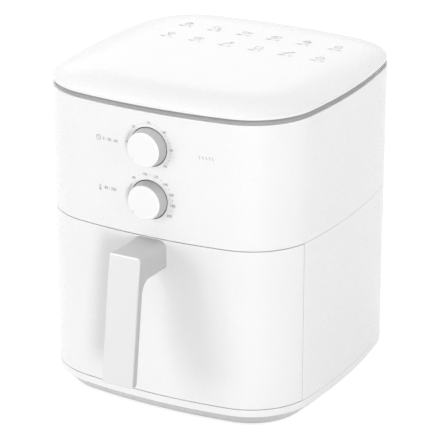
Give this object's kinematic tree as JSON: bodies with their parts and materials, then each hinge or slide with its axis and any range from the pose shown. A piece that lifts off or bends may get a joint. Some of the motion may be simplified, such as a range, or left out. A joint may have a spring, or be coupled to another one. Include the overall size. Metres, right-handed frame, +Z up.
{
  "type": "air fryer",
  "caption": "Countertop air fryer with a bowed square body, domed lid, two dials stacked on the front and a pull-out drawer with a leaning D-shaped handle.",
  "frame": {"origin": "on the surface the feet stand on, under the middle of the outline from the handle to the rear vent", "axes": "+X to the user's right, +Y from the handle to the rear vent, +Z up"},
  "size_m": [0.275, 0.349, 0.316],
  "materials": {
    "shell_white": "smooth glossy injection-moulded plastic",
    "knob_white": "satin-gloss moulded plastic",
    "handle_white": "satin moulded plastic",
    "handle_grey": "satin moulded plastic",
    "vent_white": "satin moulded plastic",
    "panel_grey": "satin moulded plastic",
    "trim_grey": "satin moulded plastic",
    "grey_plastic": "plain moulded plastic",
    "black_plastic": "plain moulded plastic",
    "red_plastic": "plain moulded plastic",
    "foot_rubber": "matt moulded rubber",
    "silicone": "matt moulded silicone",
    "nonstick": "satin non-stick coating on pressed steel",
    "chamber_steel": "bright galvanised sheet",
    "dome_aluminium": "pressed aluminium",
    "sheet_steel": "galvanised sheet",
    "heater_steel": "oxidised stainless tube",
    "wire_chrome": "plated wire",
    "screw_steel": "plated steel",
    "bell_steel": "plated steel",
    "lamination": "stacked laminations",
    "copper": "copper",
    "brass": "turned brass"
  },
  "bodies": {
    "housing": {"top_cover": "shell_white", "top_trim_ring": "trim_grey", "upper_housing": "shell_white", "lower_housing": "shell_white", "front_bulkhead": "panel_grey", "base": "shell_white", "rubber_feet": "foot_rubber", "housing_screws": "screw_steel", "control_bracket": "sheet_steel", "timer_unit": "grey_plastic", "timer_bell": "bell_steel", "thermostat_unit": "grey_plastic", "thermostat_bulb": "copper", "chamber": "chamber_steel", "drawer_rails": "chamber_steel", "reflector": "dome_aluminium", "insulation_cover": "sheet_steel", "heater_element": "heater_steel", "heater_guard": "wire_chrome", "motor_bracket": "sheet_steel", "motor_stator": "lamination", "motor_coil": "copper", "motor_bearings": "sheet_steel", "terminal_block": "grey_plastic", "thermal_fuse": "sheet_steel", "rear_vent": "vent_white", "exhaust_duct": "sheet_steel", "cord_gland": "black_plastic", "interlock_switch": "black_plastic"},
    "drawer": {"drawer_front": "shell_white", "drawer_back_panel": "panel_grey", "pan": "nonstick", "pan_screws": "screw_steel", "handle_bracket": "sheet_steel", "handle_grip": "handle_white", "handle_back": "handle_grey", "handle_screws": "screw_steel"},
    "tray": {"crisper_plate": "nonstick", "tray_bumpers": "silicone"},
    "fan": {"motor_rotor": "lamination", "motor_shaft": "screw_steel", "hot_air_fan": "dome_aluminium", "cooling_fan": "black_plastic", "fan_nut": "brass"},
    "timer_dial": {"timer_knob": "knob_white", "timer_shaft": "brass"},
    "thermostat_dial": {"thermostat_knob": "knob_white", "thermostat_shaft": "brass"},
    "switch": {"switch_plunger": "red_plastic"}
  },
  "joints": [
    {"name": "drawer_slide", "type": "slide", "parent": "housing", "child": "drawer", "axis": [0, -1, 0], "range_m": [0, 0.22]},
    {"name": "tray_lift", "type": "slide", "parent": "drawer", "child": "tray", "axis": [0, 0, 1], "range_m": [0, 0.09]},
    {"name": "timer_turn", "type": "hinge", "parent": "housing", "child": "timer_dial", "pos_m": [0, -0.115, 0.2676], "axis": [0, 1, 0], "range_deg": [0, 266]},
    {"name": "thermostat_turn", "type": "hinge", "parent": "housing", "child": "thermostat_dial", "pos_m": [0, -0.115, 0.2174], "axis": [0, 1, 0], "range_deg": [0, 251]},
    {"name": "fan_spin", "type": "hinge", "parent": "housing", "child": "fan", "pos_m": [0, 0.0357, 0.2], "axis": [0, 0, 1], "continuous": true},
    {"name": "switch_travel", "type": "slide", "parent": "housing", "child": "switch", "axis": [0, -1, 0], "range_m": [0, 0.002]}
  ],
  "couplings": [
    {"joint": "switch_travel", "follows": "drawer_slide", "ratio": 0.009}
  ]
}
